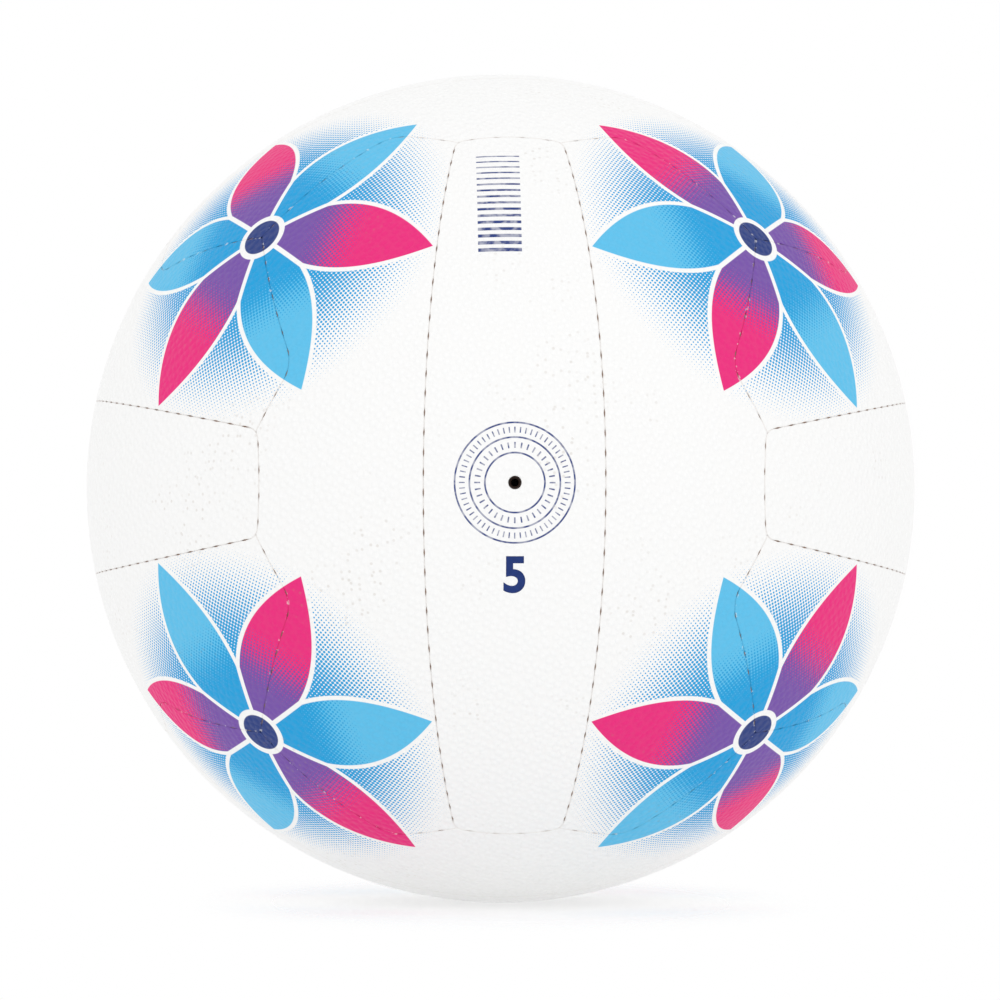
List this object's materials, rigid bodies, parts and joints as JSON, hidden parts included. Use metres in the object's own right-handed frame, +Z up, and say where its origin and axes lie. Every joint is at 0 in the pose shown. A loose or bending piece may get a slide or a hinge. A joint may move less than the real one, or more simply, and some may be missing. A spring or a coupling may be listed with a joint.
{
  "type": "netball",
  "caption": "Hand-sewn netball with lined strip panels stitched edge to edge over an air bladder, and a needle valve in the front middle strip.",
  "frame": {"origin": "centre of the ball", "axes": "+Z up as in the picture, -Y towards the viewer and out of the valve, X to the right"},
  "size_m": [0.2228, 0.2228, 0.2228],
  "materials": {
    "cover": "white pebbled synthetic rubber, low sheen, printed",
    "lining": "laminated poly-cotton cloth",
    "thread": "waxed polyester thread",
    "bladder": "smooth butyl rubber",
    "valve_body": "moulded rubber",
    "valve_core": "soft gum rubber",
    "patch": "bonded cloth"
  },
  "bodies": {
    "root": {"bladder": "bladder", "cover_back_left": "cover", "cover_back_middle": "cover", "cover_back_right": "cover", "cover_bottom_back": "cover", "cover_bottom_front": "cover", "cover_bottom_middle": "cover", "cover_front_left": "cover", "cover_front_middle": "cover", "cover_front_right": "cover", "cover_left_lower": "cover", "cover_left_middle": "cover", "cover_left_upper": "cover", "cover_right_lower": "cover", "cover_right_middle": "cover", "cover_right_upper": "cover", "cover_top_back": "cover", "cover_top_front": "cover", "cover_top_middle": "cover", "lining_back_left": "lining", "lining_back_middle": "lining", "lining_back_right": "lining", "lining_bottom_back": "lining", "lining_bottom_front": "lining", "lining_bottom_middle": "lining", "lining_front_left": "lining", "lining_front_middle": "lining", "lining_front_right": "lining", "lining_left_lower": "lining", "lining_left_middle": "lining", "lining_left_upper": "lining", "lining_right_lower": "lining", "lining_right_middle": "lining", "lining_right_upper": "lining", "lining_top_back": "lining", "lining_top_front": "lining", "lining_top_middle": "lining", "thread_back_bottom_end": "thread", "thread_back_strips": "thread", "thread_back_top_end": "thread", "thread_bottom_left_end": "thread", "thread_bottom_right_end": "thread", "thread_bottom_strips": "thread", "thread_front_bottom_end": "thread", "thread_front_strips": "thread", "thread_front_top_end": "thread", "thread_left_back_end": "thread", "thread_left_front_end": "thread", "thread_left_strips": "thread", "thread_right_back_end": "thread", "thread_right_front_end": "thread", "thread_right_strips": "thread", "thread_top_left_end": "thread", "thread_top_right_end": "thread", "thread_top_strips": "thread", "valve_body": "valve_body", "valve_core": "valve_core", "valve_patch": "patch"}
  },
  "joints": []
}
